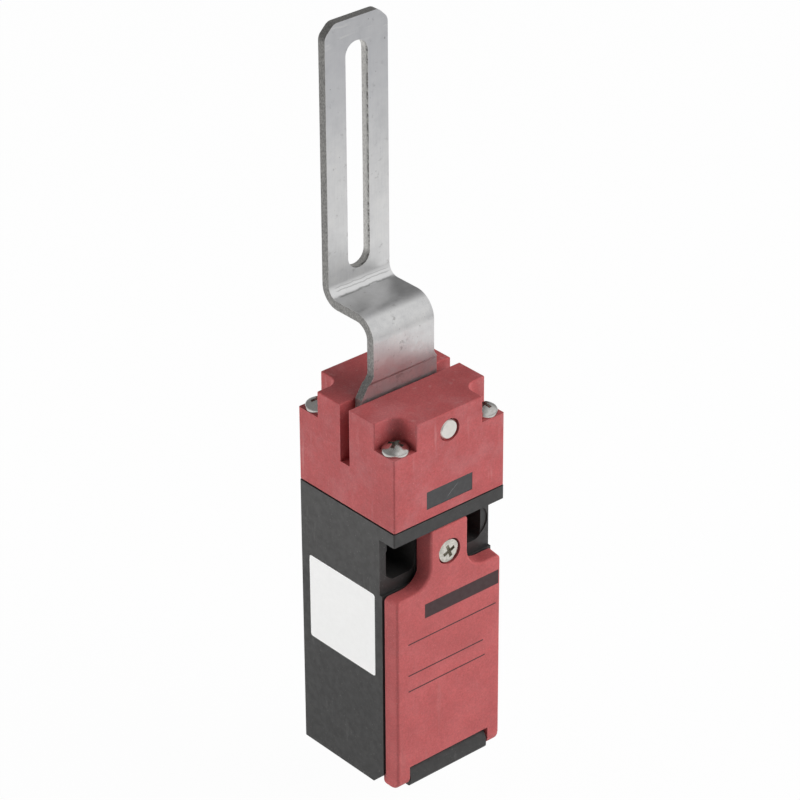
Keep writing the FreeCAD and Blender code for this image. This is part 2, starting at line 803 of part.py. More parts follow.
def terminal_screws():
    """Terminal screws on the front of the contact block."""
    screws = []
    length = 2 * strip_thickness + block_wall - seat_gap
    for index, (x, level, strip_low) in enumerate(terminals()):
        turn = terminal_screw_turn_step * index
        screw = cross_screw(terminal_screw_head, terminal_screw_height, pan_rim, terminal_screw_shank,
                            length, turn)
        screws.append(facing_front(screw, x, clamp_front, level))
    return Part.makeCompound(screws)


def contact_carrier():
    """Slider below the plunger, with a window for each bridge contact."""
    low_y = plunger_y - carrier_half
    high_y = plunger_y + carrier_half
    carrier = block(-carrier_half, carrier_half, low_y, high_y, carrier_low, carrier_top)
    half_window = bridge_width / 2 + window_gap
    closed_low = closed_bridge_top - bridge_thickness - closed_spring_length
    open_high = open_bridge_low + bridge_thickness + open_spring_length
    window_front = plunger_y - half_window
    window_rear = plunger_y + half_window
    spans = ((closed_low, closed_bridge_top + window_gap), (open_bridge_low - window_gap, open_high))
    for low, high in spans:
        carrier = carrier.cut(block(-carrier_half, carrier_half, window_front, window_rear, low, high))
    return carrier


def bridge(low, rivet_low):
    """Bridge contact across the carrier, with a rivet near each end."""
    half = terminal_place + bridge_end
    half_wide = bridge_width / 2
    corners = rectangle(-half, half, plunger_y - half_wide, plunger_y + half_wide, edge_round)
    strip = prism(corners, "z", low, low + bridge_thickness)
    for side_x in sides:
        x = side_x * terminal_place
        strip = strip.fuse(rod("z", x, plunger_y, rivet_diameter / 2, rivet_low, rivet_low + rivet_height))
    return strip.removeSplitter()


def closed_bridge():
    """Bridge that closes the circuit at rest, held up against the fixed contacts."""
    return bridge(closed_bridge_top - bridge_thickness, closed_bridge_top)


def open_bridge():
    """Bridge that is clear of its fixed contacts at rest."""
    return bridge(open_bridge_low, open_bridge_low - rivet_height)


def contact_springs():
    """Springs that press each bridge in its window."""
    closed_high = closed_bridge_top - bridge_thickness
    open_low = open_bridge_low + bridge_thickness
    spans = ((closed_high - closed_spring_length, closed_high), (open_low, open_low + open_spring_length))
    springs = [coil_spring(contact_spring_diameter, contact_spring_wire, contact_spring_turns, low, high)
               for low, high in spans]
    return Part.makeCompound(springs)


def return_spring():
    """Spring under the carrier that pushes the plunger up."""
    return coil_spring(return_spring_diameter, return_spring_wire, return_spring_turns,
                       block_base + block_wall, carrier_low)


os.makedirs("parts", exist_ok=True)
head = head_moulding()
housing = housing_moulding()
parts = {
    "head_casing": level_slice(head, head_base, slot_floor),
    "head_cheeks": level_slice(head, slot_floor, head_top),
    "head_insert": head_insert(),
    "head_gasket": head_gasket(),
    "head_screws": head_screws(),
    "lever_arm": lever_arm(),
    "lever_pin": lever_pin(),
    "body_base": level_slice(housing, 0, entry_length),
    "body_housing": level_slice(housing, entry_length, chamber_top),
    "body_mount": level_slice(housing, chamber_top, recess_high),
    "body_flange": level_slice(housing, recess_high, body_height),
    "side_label": side_label(),
    "front_cover": front_cover(),
    "cover_gasket": cover_gasket(),
    "cover_screw": cover_screw(),
    "screw_retainer": screw_retainer(),
    "cover_screw_insert": cover_screw_insert(),
    "plunger_guide": plunger_guide(),
    "plunger_seal": plunger_seal(),
    "drive_plunger": drive_plunger(),
    "contact_block": contact_block(),
    "block_rear_plate": block_rear_plate(),
    "block_screws": block_screws(),
    "closed_fixed_contacts": fixed_contacts(True),
    "open_fixed_contacts": fixed_contacts(False),
    "terminal_clamps": terminal_clamps(),
    "terminal_screws": terminal_screws(),
    "contact_carrier": contact_carrier(),
    "closed_bridge": closed_bridge(),
    "open_bridge": open_bridge(),
    "contact_springs": contact_springs(),
    "return_spring": return_spring(),
}
for name, shape in parts.items():
    shape.exportStep(f"parts/{name}.step")
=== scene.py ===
"""Looks of the safety hinge switch: camera, light, floor, materials, two screw threads and a coil spring."""
import json
import math

import bpy
from mathutils import Matrix, Vector


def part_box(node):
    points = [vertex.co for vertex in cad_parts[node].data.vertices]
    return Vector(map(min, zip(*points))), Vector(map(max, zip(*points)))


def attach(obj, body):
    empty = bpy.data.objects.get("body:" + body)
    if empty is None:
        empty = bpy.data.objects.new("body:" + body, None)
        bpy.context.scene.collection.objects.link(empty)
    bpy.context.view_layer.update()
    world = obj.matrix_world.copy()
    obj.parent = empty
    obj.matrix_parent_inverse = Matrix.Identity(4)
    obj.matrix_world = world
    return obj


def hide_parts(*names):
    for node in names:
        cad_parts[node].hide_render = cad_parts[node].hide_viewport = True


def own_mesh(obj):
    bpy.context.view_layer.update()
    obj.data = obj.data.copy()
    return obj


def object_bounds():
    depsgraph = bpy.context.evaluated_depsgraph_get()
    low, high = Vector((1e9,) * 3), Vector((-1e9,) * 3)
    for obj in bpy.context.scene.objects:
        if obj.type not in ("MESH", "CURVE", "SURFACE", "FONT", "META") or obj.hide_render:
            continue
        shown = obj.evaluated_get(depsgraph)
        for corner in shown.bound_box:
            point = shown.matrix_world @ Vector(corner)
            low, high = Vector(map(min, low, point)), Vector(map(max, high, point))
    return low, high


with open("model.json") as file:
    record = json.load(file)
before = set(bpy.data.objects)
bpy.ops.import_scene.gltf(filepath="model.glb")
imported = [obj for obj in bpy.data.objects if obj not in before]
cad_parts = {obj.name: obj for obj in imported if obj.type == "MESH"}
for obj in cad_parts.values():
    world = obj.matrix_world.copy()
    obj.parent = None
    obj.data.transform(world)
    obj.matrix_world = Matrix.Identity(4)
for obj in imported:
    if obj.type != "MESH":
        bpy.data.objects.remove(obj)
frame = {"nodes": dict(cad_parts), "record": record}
cad_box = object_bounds()
nodes = frame["nodes"]
scene = bpy.context.scene
scene.view_settings.view_transform = "Standard"

# Camera, fitted to the photograph's corner points, in metres and radians
image_size = 800
focal_pixels = 3467.16
sensor_width = 36.0
camera_turn = math.radians(-40.8655)
camera_rise = math.radians(29.8139)
camera_roll = math.radians(-0.3248)
camera_distance = 0.740617
camera_target = Vector((0.016335, 0.019254, 0.0700))
camera_near = 0.01

# Lamps, in metres and watts
lamp_target = Vector((0, 0, 0.07))
key_place = Vector((0.62, -0.68, 0.60))
key_size = (1.1, 1.1)
key_power = 13.6
fill_place = Vector((-0.72, 0.70, 0.28))
fill_size = (1.2, 0.5)
fill_power = 9.2

# World, which metal sees white towards one side and grey elsewhere
world_level = 0.13
bright_side = Vector((0.58, -0.78, 0.22)).normalized()
bright_start = 0.1
bright_full = 0.67
mirrored_low = 0.34
mirrored_high = 1.0

# Floor, low enough for the open cover, which metal sees darker close under the part, a painted shadow, and
# far away
floor_size = 6.0
floor_drop = 0.011
floor_albedo = 0.9
floor_white_share = 0.97
floor_under = 0.03
floor_shadow_share = 0.72
floor_near = 0.12
floor_far = 0.50
floor_far_share = 0.45

# Screw threads, in metres, with their section in shares of a pitch
entry_pitch = 0.0015
entry_ridge = 0.00055
screw_pitch = 0.0005
screw_shank = 0.0030
screw_ridge = 0.00012
thread_sink = 0.00003
thread_foot = 0.42
thread_crest = 0.10
run_out_turns = 0.25
run_out_least = 0.05
turn_steps = 40

# Return spring, in metres
spring_wire = 0.0005
spring_turns = 6.5
spring_dead_turns = 1.0
spring_sides = 10

# Materials work in millimetres and linear colour. A grain is a noise's grains per millimetre and its detail;
# a sheen adds the least and most roughness, a relief its depth, and spots the levels of start and full.
# A coat is a colour and its strength. A pair for a place or direction is where a soft change starts and ends.
millimetre = 0.001
noise_middle = (0.25, 0.75)
rough_noise = 0.6
bevel_samples = 6
edge_alike = (0.80, 0.98)
edge_radius = 0.3
seam_fade = 0.3

# Red plastic
head_red = (0.445, 0.089, 0.091)
# Strength of the pale patches, which are dust and a painted sheen
head_dust_and_sheen = 0.20
cover_red = (0.475, 0.098, 0.099)
cover_dust_and_sheen = 0.06
mottle_fine = (2.9, 3.0)
mottle_fine_share = 0.6
mottle_broad = (0.16, 4.0)
mottle_broad_share = 0.4
mottle_shades = ((0.34, 0.85), (0.50, 1.0), (0.66, 1.17))
# Pale patches: partly dust, partly a painted sheen
dust_and_sheen_pale = (0.58, 0.34, 0.36)
dust_and_sheen_patches = (0.15, 5.0, 0.44, 0.66)
dust_and_sheen_grain = (3.4, 2.0)
dust_and_sheen_thin = (0.30, 0.80)
dust_and_sheen_thin_least = 0.4
speck_coat = ((0.68, 0.30, 0.27), 0.30)
speck_spots = (2.4, 1.0, 0.68, 0.74)
fleck_coat = ((0.22, 0.055, 0.055), 0.35)
fleck_spots = (1.7, 2.0, 0.69, 0.75)
streak_pale = (0.64, 0.40, 0.40)
streak_spots = (0.55, 4.0, 0.62, 0.74)
streak_stretch = (1.0, 1.0, 0.14)
# Paler edges: wear, and a painted edge highlight
red_wear_and_highlight_coat = ((0.66, 0.30, 0.30), 0.30)
red_wear_and_highlight_spots = (0.9, 3.0, 0.35, 0.65)
red_sheen = (0.8, 3.0, 0.46, 0.62)
red_relief = (2.8, 4.0, 0.012)
red_specular = 0.42

# Plain printing on the cover: a bar, and rules given by their level and right end
ink_coat = ((0.022, 0.018, 0.02), 0.95)
cover_face = (-14.9, -14.8)
bar_left = -6.8
bar_right = 13.85
bar_low = 41.2
bar_high = 44.65
rule_left = -11.4
rule_ends = ((36.4, 13.1), (28.6, 9.6), (24.65, 10.1))
rule_thickness = 0.3
print_soft = 0.05
rule_soft = 0.06

# Black plastic, with a painted sheen towards the top of its left side
black_grain = (1.3, 4.0)
black_tones = ((0.3, (0.026, 0.0255, 0.0253)), (0.7, (0.033, 0.032, 0.0315)))
pale_grey = (0.34, 0.33, 0.32)
black_speck_strength = 0.16
black_speck_spots = (2.2, 1.0, 0.71, 0.76)
black_scuff_strength = 0.05
black_scuff_spots = (0.5, 4.0, 0.64, 0.72)
black_scuff_stretch = (1.0, 1.0, 0.25)
black_upper_left_sheen_strength = 0.06
black_upper_left_sheen_levels = (38.0, 64.0)
left_facing = (-0.9, -0.7)
# Greyer edges: wear, and a painted edge highlight
black_wear_and_highlight_strength = 0.10
black_wear_and_highlight_spots = (0.8, 3.0, 0.3, 0.6)
black_sheen = (0.7, 3.0, 0.40, 0.56)
black_relief = (2.8, 4.0, 0.006)
black_specular = 0.5

# Black inlay in the head, with its wavy scratch
inlay_grain = (1.3, 4.0)
inlay_tones = ((0.3, (0.030, 0.0295, 0.031)), (0.7, (0.042, 0.041, 0.043)))
scratch_coat = ((0.40, 0.40, 0.41), 0.35)
scratch_grain = (0.7, 2.0)
scratch_wave = 0.8
scratch_slope = 0.75
scratch_low = 68.35
scratch_high = 68.47
scratch_soft = 0.06
scratch_left = -0.4
scratch_right = 2.2
scratch_ends = 0.5
inlay_sheen = (0.9, 3.0, 0.34, 0.46)
inlay_relief = (3.0, 3.0, 0.005)
inlay_specular = 0.5

# Faces of the lever's sheet
cloud_grain = (0.22, 5.0)
cloud_share = 0.5
patch_grain = (0.75, 4.0)
patch_share = 0.3
brushed_grain = (1.0, 4.0)
brushed_stretch = (4.0, 4.0, 0.25)
brushed_share = 0.2
sheet_tones = ((0.32, (0.66, 0.66, 0.667)), (0.5, (0.79, 0.79, 0.79)), (0.68, (0.89, 0.885, 0.875)))
# Painted reflection: the plate paler than the shank below it
plate_reflection_coat = ((0.97, 0.97, 0.97), 0.12)
plate_reflection_levels = (107.0, 110.0)
# Painted shade: the web's upward faces darker, more so to the right, for the dark reflection there
web_shade_coat = ((0.32, 0.32, 0.325), 0.48)
web_cloud = (0.38, 0.58)
web_cloud_range = (0.5, 0.85)
web_right = (0.0, 5.0)
web_right_more = 0.2
up_facing = (0.80, 0.95)
foot_coat = ((0.36, 0.41, 0.42), 0.6)
foot_levels = (91.0, 95.5)
foot_patch = (0.25, 0.6)
foot_patch_least = 0.5
foot_dullness = 0.12
stain_coat = ((0.30, 0.29, 0.28), 0.5)
stain_spots = (0.4, 5.0, 0.60, 0.72)
stain_rough_noise = 0.65
# Painted reflection: the plate darker and cooler towards its top
cool_shade_coat = ((0.56, 0.57, 0.61), 0.5)
cool_shade_levels = (125.0, 160.0)
pit_coat = ((0.20, 0.20, 0.19), 0.5)
pit_spots = (1.3, 2.0, 0.72, 0.77)
scuff_coat = ((0.86, 0.86, 0.85), 0.5)
scuff_spots = (0.55, 4.0, 0.57, 0.66)
scuff_stretch = (0.35, 1.0, 2.4)
scuff_levels = (157.0, 163.5)
sheet_rough_patch = (0.3, 0.7)
sheet_rough_range = (0.32, 0.46)
sheet_relief_grain = (2.4, 3.0)
sheet_relief_share = 0.35
sheet_relief_depth = 0.008

# Bends of the lever's sheet, where its face is neither level nor upright
bend_low = 0.15
bend_high = 0.85
bend_soft = 0.12
bend_roughness = 0.48
bend_relief = 2.2

# Press marks at the foot of the plate: a bright band, pressed and partly a painted highlight, and dark lines
# given by their level and strength
front_facing = (-0.35, -0.2)
plate_front = (10.6, 11.0)
coined_highlight_coat = ((0.93, 0.93, 0.93), 0.7)
coined_highlight_low = 106.25
coined_highlight_high = 108.3
coined_highlight_soft = 0.12
press_dark = (0.22, 0.22, 0.22)
press_lines = ((107.55, 0.40), (106.95, 0.45), (106.18, 0.65))
press_width = 0.16
press_soft = 0.09
press_left = -6.6
press_right = 7.4
press_ends = 0.8
press_grain = (0.5, 2.0)
press_wave = 0.5
press_end_wave = 3.0

# Sheared edges of the lever's sheet, brighter in its slot, with dark dashes on the burr there
side_facing = (0.55, 0.75)
across_facing = (0.25, 0.45)
across_levels = (109.0, 109.5)
torn_grain = (3.6, 3.0)
torn_stretch = (1.0, 1.0, 0.6)
edge_tones = ((0.32, (0.25, 0.247, 0.24)), (0.5, (0.39, 0.385, 0.373)), (0.68, (0.55, 0.54, 0.52)))
slot_tones = ((0.34, (0.60, 0.59, 0.57)), (0.5, (0.75, 0.74, 0.72)), (0.66, (0.88, 0.87, 0.84)))
slot_half = 3.3
slot_low = 109.2
slot_high = 162.0
slot_side_soft = 0.1
slot_end_soft = 0.3
burr_coat = ((0.10, 0.098, 0.094), 0.9)
burr_patch = (0.40, 0.52)
burr_patch_least = 0.35
burr_torn = (0.42, 0.50)
burr_depths = (13.1, 13.8)
# Painted highlight: paler rims along the lever's edges
rim_highlight_coat = ((0.88, 0.88, 0.87), 0.45)
rim_highlight_radius = 0.25
rim_torn = (0.40, 0.55)
rim_torn_least = 0.3
sheared_roughness = 0.55
sheared_relief = 2.0

# Metals: dark tone, light tone, least and most roughness, and depth of relief
metal_grain = (1.1, 3.0)
metal_levels = (0.25, 0.75)
metal_sheen_grain = (1.7, 3.0)
metal_relief_grain = (1.6, 3.0)
metals = {
    "bright_steel": ((0.56, 0.545, 0.52), (0.70, 0.685, 0.66), 0.18, 0.27, 0.02),
    "spring_steel": ((0.40, 0.40, 0.40), (0.58, 0.58, 0.57), 0.28, 0.42, 0.001),
    "brass": ((0.55, 0.38, 0.13), (0.74, 0.55, 0.24), 0.24, 0.40, 0.001),
    "clamp_steel": ((0.48, 0.48, 0.46), (0.66, 0.66, 0.63), 0.28, 0.44, 0.001),
    "cover_screw_steel": ((0.44, 0.425, 0.38), (0.74, 0.715, 0.65), 0.12, 0.20, 0.09),
    "pin_steel": ((0.76, 0.735, 0.69), (0.84, 0.82, 0.775), 0.34, 0.42, 0.001),
}

# Plain plastics, rubber and film: dark tone, light tone, least and most roughness, and specular level
moulding_grain = (0.9, 3.0)
moulding_levels = (0.3, 0.7)
moulding_sheen_grain = (1.6, 2.0)
moulding_relief = (3.0, 2.0, 0.008)
mouldings = {
    "rubber": ((0.012, 0.012, 0.012), (0.022, 0.022, 0.022), 0.55, 0.75, 0.3),
    "label_white": ((0.955, 0.955, 0.945), (0.985, 0.985, 0.975), 0.30, 0.42, 0.4),
    "pale_plastic": ((0.56, 0.54, 0.47), (0.66, 0.64, 0.57), 0.40, 0.55, 0.4),
    "block_plastic": ((0.055, 0.058, 0.062), (0.085, 0.088, 0.094), 0.42, 0.6, 0.4),
}

# Parts with a finish of their own, in place of the one that the record names
own_finishes = {
    "front_cover": "red_plastic_printed",
    "head_insert": "inlay_black",
    "cover_screw": "cover_screw_steel",
    "lever_pin": "pin_steel",
}


def add_camera():
    """Camera at the photograph's angle."""
    back = Vector((math.sin(camera_turn) * math.cos(camera_rise),
                   -math.cos(camera_turn) * math.cos(camera_rise), math.sin(camera_rise)))
    right = Vector((math.cos(camera_turn), math.sin(camera_turn), 0))
    up = back.cross(right)
    right_rolled = right * math.cos(camera_roll) + up * math.sin(camera_roll)
    up_rolled = up * math.cos(camera_roll) - right * math.sin(camera_roll)
    data = bpy.data.cameras.new("camera")
    data.sensor_width = sensor_width
    data.lens = sensor_width * focal_pixels / image_size
    data.clip_start = camera_near
    camera = bpy.data.objects.new("camera", data)
    place = camera_target + back * camera_distance
    rotation = Matrix((right_rolled, up_rolled, back)).transposed().to_4x4()
    camera.matrix_world = Matrix.Translation(place) @ rotation
    scene.collection.objects.link(camera)
    scene.camera = camera


def area_light(name, place, size, power):
    """Soft rectangular lamp aimed at the object, which metal doesn't mirror."""
    data = bpy.data.lights.new(name, "AREA")
    data.shape = "RECTANGLE"
    data.size, data.size_y = size
    data.energy = power
    lamp = bpy.data.objects.new(name, data)
    lamp.location = place
    lamp.rotation_euler = (lamp_target - place).to_track_quat("-Z", "Y").to_euler()
    lamp.visible_glossy = False
    scene.collection.objects.link(lamp)


def joined(tree, kind, operation, first, second=None):
    """Number from a node of a kind that does one operation on two values."""
    node = tree.nodes.new(kind)
    node.operation = operation
    for value, socket in ((first, node.inputs[0]), (second, node.inputs[1])):
        if isinstance(value, bpy.types.NodeSocket):
            tree.links.new(value, socket)
        elif value is not None:
            socket.default_value = value
    return node.outputs["Value"]


def summed(tree, operation, first, second=None):
    """One sum on two numbers."""
    return joined(tree, "ShaderNodeMath", operation, first, second)


def ranged(tree, value, low, high, first, second):
    """Value that goes smoothly from first to second between low and high."""
    node = tree.nodes.new("ShaderNodeMapRange")
    node.interpolation_type = "SMOOTHSTEP"
    tree.links.new(value, node.inputs["Value"])
    for name, number in (("From Min", low), ("From Max", high), ("To Min", first), ("To Max", second)):
        node.inputs[name].default_value = number
    return node.outputs["Result"]


def mixed(tree, share, first, second):
    """Mix of two shaders, the second by a share."""
    mix = tree.nodes.new("ShaderNodeMixShader")
    tree.links.new(share, mix.inputs["Fac"])
    tree.links.new(first, mix.inputs[1])
    tree.links.new(second, mix.inputs[2])
    return mix.outputs[0]


def floor_material():
    """White to the camera but for the object's shadow; metal sees a painted shadow close under the part, and
    the floor darken with distance.
    """
    material = bpy.data.materials.new("floor_white")
    material.use_nodes = True
    tree = material.node_tree
    tree.nodes.clear()
    path = tree.nodes.new("ShaderNodeLightPath")
    glossy = path.outputs["Is Glossy Ray"]
    seen = summed(tree, "MAXIMUM", path.outputs["Is Camera Ray"], glossy)
    seen = summed(tree, "MAXIMUM", seen, path.outputs["Is Transmission Ray"])
    share = summed(tree, "MULTIPLY", seen, floor_white_share)
    place = tree.nodes.new("ShaderNodeNewGeometry").outputs["Position"]
    distance = joined(tree, "ShaderNodeVectorMath", "LENGTH", place)
    # Painted shadow in the floor's reflection, close under the part
    rise = ranged(tree, distance, floor_under, floor_near, floor_shadow_share, 1.0)
    fall = ranged(tree, distance, floor_near, floor_far, 1.0, floor_far_share)
    level = summed(tree, "MULTIPLY", rise, fall)
    lost = summed(tree, "MULTIPLY", summed(tree, "SUBTRACT", 1.0, level), glossy)
    diffuse = tree.nodes.new("ShaderNodeBsdfDiffuse")
    diffuse.inputs["Color"].default_value = (floor_albedo, floor_albedo, floor_albedo, 1)
    glow = tree.nodes.new("ShaderNodeEmission")
    tree.links.new(summed(tree, "SUBTRACT", 1.0, lost), glow.inputs["Strength"])
    output = tree.nodes.new("ShaderNodeOutputMaterial")
    tree.links.new(mixed(tree, share, diffuse.outputs[0], glow.outputs[0]), output.inputs["Surface"])
    return material


def add_floor():
    """Wide pale floor that keeps the shadow."""
    half = floor_size / 2
    corners = [(-half, -half, 0), (half, -half, 0), (half, half, 0), (-half, half, 0)]
    mesh = bpy.data.meshes.new("floor")
    mesh.from_pydata(corners, [], [(0, 1, 2, 3)])
    mesh.materials.append(floor_material())
    floor = bpy.data.objects.new("floor", mesh)
    floor.location.z = cad_box[0][2] - floor_drop
    scene.collection.objects.link(floor)


def add_world():
    """Even grey light from all round; metal sees a brighter front right, and the camera sees white."""
    world = bpy.data.worlds.new("studio")
    world.use_nodes = True
    tree = world.node_tree
    path = tree.nodes.new("ShaderNodeLightPath")
    even = tree.nodes["Background"]
    even.inputs["Color"].default_value = (1, 1, 1, 1)
    even.inputs["Strength"].default_value = world_level
    direction = tree.nodes.new("ShaderNodeTexCoord").outputs["Generated"]
    facing = joined(tree, "ShaderNodeVectorMath", "DOT_PRODUCT", direction, bright_side)
    level = ranged(tree, facing, bright_start, bright_full, mirrored_low, mirrored_high)
    mirrored = tree.nodes.new("ShaderNodeBackground")
    tree.links.new(level, mirrored.inputs["Strength"])
    white = tree.nodes.new("ShaderNodeBackground")
    white.inputs["Strength"].default_value = 1.0
    shade = mixed(tree, path.outputs["Is Glossy Ray"], even.outputs[0], mirrored.outputs[0])
    for ray in ("Is Transmission Ray", "Is Camera Ray"):
        shade = mixed(tree, path.outputs[ray], shade, white.outputs[0])
    tree.links.new(shade, tree.nodes["World Output"].inputs["Surface"])
    scene.world = world


class Shade:
    """Node material under construction, with its coordinates in millimetres."""

    def __init__(self, name):
        self.material = bpy.data.materials.new(name)
        self.material.use_nodes = True
        self.tree = self.material.node_tree
        self.shader = self.tree.nodes["Principled BSDF"]
        self.coordinates = self.tree.nodes.new("ShaderNodeTexCoord")
        self.scaled = self.stretched((1, 1, 1))

    def stretched(self, scale):
        """Object coordinates in millimetres, multiplied along each axis."""
        mapping = self.tree.nodes.new("ShaderNodeMapping")
        mapping.inputs["Scale"].default_value = [factor / millimetre for factor in scale]
        self.tree.links.new(self.coordinates.outputs["Object"], mapping.inputs["Vector"])
        return mapping.outputs["Vector"]

    def axes(self, vector):
        """The three parts of a vector."""
        split = self.tree.nodes.new("ShaderNodeSeparateXYZ")
        self.tree.links.new(vector, split.inputs[0])
        return split.outputs

    def place(self):
        """The three coordinates, in millimetres."""
        return self.axes(self.scaled)

    def normal(self):
        """The three parts of the direction that the surface faces."""
        return self.axes(self.coordinates.outputs["Normal"])

    def math(self, operation, first, second=None):
        """One sum on two values."""
        return summed(self.tree, operation, first, second)

    def times(self, first, second):
        """Product of two values."""
        return self.math("MULTIPLY", first, second)

    def larger(self, first, second):
        """The larger of two values."""
        return self.math("MAXIMUM", first, second)

    def mixture(self, *weighed):
        """Sum of values, each given with its share."""
        parts = [self.times(value, share) for value, share in weighed]
        total = parts[0]
        for part in parts[1:]:
            total = self.math("ADD", total, part)
        return total

    def step(self, value, low, high, first=0.0, second=1.0):
        """Value that goes smoothly from first to second between low and high."""
        return ranged(self.tree, value, low, high, first, second)

    def until(self, value, low, high):
        """1 below a place and 0 above it, with a soft change between two limits."""
        return self.step(value, low, high, 1.0, 0.0)

    def inside(self, value, low, high, soft):
        """1 where a value lies between two limits, with soft ends."""
        rise = self.step(value, low - soft, low + soft)
        fall = self.until(value, high - soft, high + soft)
        return self.times(rise, fall)

    def noise(self, scale, detail, stretch=None, rough=0.5):
        """Noise with a given number of grains per millimetre, stretched along the axes if wanted."""
        node = self.tree.nodes.new("ShaderNodeTexNoise")
        node.inputs["Scale"].default_value = scale
        node.inputs["Detail"].default_value = detail
        node.inputs["Roughness"].default_value = rough
        vector = self.stretched(stretch) if stretch else self.scaled
        self.tree.links.new(vector, node.inputs["Vector"])
        return node.outputs["Fac"]

    def spots(self, scale, detail, start, full, stretch=None, rough=0.5):
        """1 in the spots where a noise is high."""
        return self.step(self.noise(scale, detail, stretch, rough), start, full)

    def ramp(self, value, stops):
        """Colour that follows a value through (level, colour) stops."""
        node = self.tree.nodes.new("ShaderNodeValToRGB")
        band = node.color_ramp
        while len(band.elements) < len(stops):
            band.elements.new(0.5)
        for element, (level, colour) in zip(band.elements, stops):
            element.position = level
            element.color = (*colour, 1)
        self.tree.links.new(value, node.inputs["Fac"])
        return node.outputs["Color"]

    def blend(self, share, first, second):
        """Mix of two colours, the second by a share."""
        node = self.tree.nodes.new("ShaderNodeMix")
        node.data_type = "RGBA"
        self.tree.links.new(share, node.inputs["Factor"])
        for value, socket in ((first, node.inputs["A"]), (second, node.inputs["B"])):
            if isinstance(value, tuple):
                socket.default_value = (*value, 1)
            else:
                self.tree.links.new(value, socket)
        return node.outputs["Result"]

    def coat(self, colour, mask, over, strength):
        """Colour with another one over it, where a mask says so, at some strength."""
        return self.blend(self.times(mask, strength), colour, over)

    def edges(self, radius, seams=()):
        """1 close to the edges of a part, but not at the level seams within one moulding."""
        bevel = self.tree.nodes.new("ShaderNodeBevel")
        bevel.samples = bevel_samples
        bevel.inputs["Radius"].default_value = radius * millimetre
        rounded = bevel.outputs["Normal"]
        true_normal = self.tree.nodes.new("ShaderNodeNewGeometry").outputs["Normal"]
        alike = joined(self.tree, "ShaderNodeVectorMath", "DOT_PRODUCT", rounded, true_normal)
        mask = self.until(alike, *edge_alike)
        for level in seams:
            gap = self.math("ABSOLUTE", self.math("SUBTRACT", self.place()["Z"], level))
            mask = self.times(mask, self.step(gap, radius, radius + seam_fade))
        return mask

    def link(self, name, output):
        """Feed one of the shader's sockets."""
        self.tree.links.new(output, self.shader.inputs[name])

    def set(self, name, value):
        """Plain number on one of the shader's sockets."""
        self.shader.inputs[name].default_value = value

    def sheen(self, scale, detail, low, high):
        """Roughness that follows a noise between two limits."""
        self.link("Roughness", self.step(self.noise(scale, detail), *noise_middle, low, high))

    def bump(self, height, depth):
        """Small relief, with its depth in millimetres."""
        node = self.tree.nodes.new("ShaderNodeBump")
        node.inputs["Strength"].default_value = 1.0
        node.inputs["Distance"].default_value = depth * millimetre
        self.tree.links.new(height, node.inputs["Height"])
        self.link("Normal", node.outputs["Normal"])

    def relief(self, scale, detail, depth):
        """Small relief that follows a noise."""
        self.bump(self.noise(scale, detail), depth)


def printing(shade):
    """1 on the plain printed bar and rules, on the cover's front face."""
    x, y, z = shade.place()
    ink = shade.times(shade.inside(x, bar_left, bar_right, print_soft),
                      shade.inside(z, bar_low, bar_high, print_soft))
    for low, right in rule_ends:
        rule = shade.times(shade.inside(x, rule_left, right, print_soft),
                           shade.inside(z, low, low + rule_thickness, rule_soft))
        ink = shade.larger(ink, rule)
    return shade.times(ink, shade.until(y, *cover_face))


def red_plastic(name, base, dust_and_sheen_level, seams=(), printed=False):
    """Matt moulded red: mottled, flecked and streaked, pale in patches from dust and a painted sheen, and
    paler at the edges from wear and a painted edge highlight.
    """
    shade = Shade(name)
    mottle = shade.mixture((shade.noise(*mottle_fine), mottle_fine_share),
                           (shade.noise(*mottle_broad), mottle_broad_share))
    tones = [(level, tuple(part * factor for part in base)) for level, factor in mottle_shades]
    colour = shade.ramp(mottle, tones)
    # Pale patches of dust and painted sheen
    dust_and_sheen = shade.times(shade.spots(*dust_and_sheen_patches, rough=rough_noise),
                       shade.step(shade.noise(*dust_and_sheen_grain), *dust_and_sheen_thin, dust_and_sheen_thin_least))
    colour = shade.coat(colour, dust_and_sheen, dust_and_sheen_pale, dust_and_sheen_level)
    colour = shade.coat(colour, shade.spots(*speck_spots), *speck_coat)
    colour = shade.coat(colour, shade.spots(*fleck_spots), *fleck_coat)
    colour = shade.coat(colour, shade.spots(*streak_spots, streak_stretch), streak_pale, dust_and_sheen_level)
    # Paler edges from wear and a painted edge highlight
    wear_and_highlight = shade.times(shade.edges(edge_radius, seams), shade.spots(*red_wear_and_highlight_spots))
    colour = shade.coat(colour, wear_and_highlight, *red_wear_and_highlight_coat)
    if printed:
        colour = shade.coat(colour, printing(shade), *ink_coat)
    shade.link("Base Color", colour)
    shade.sheen(*red_sheen)
    shade.set("Specular IOR Level", red_specular)
    shade.relief(*red_relief)
    return shade.material


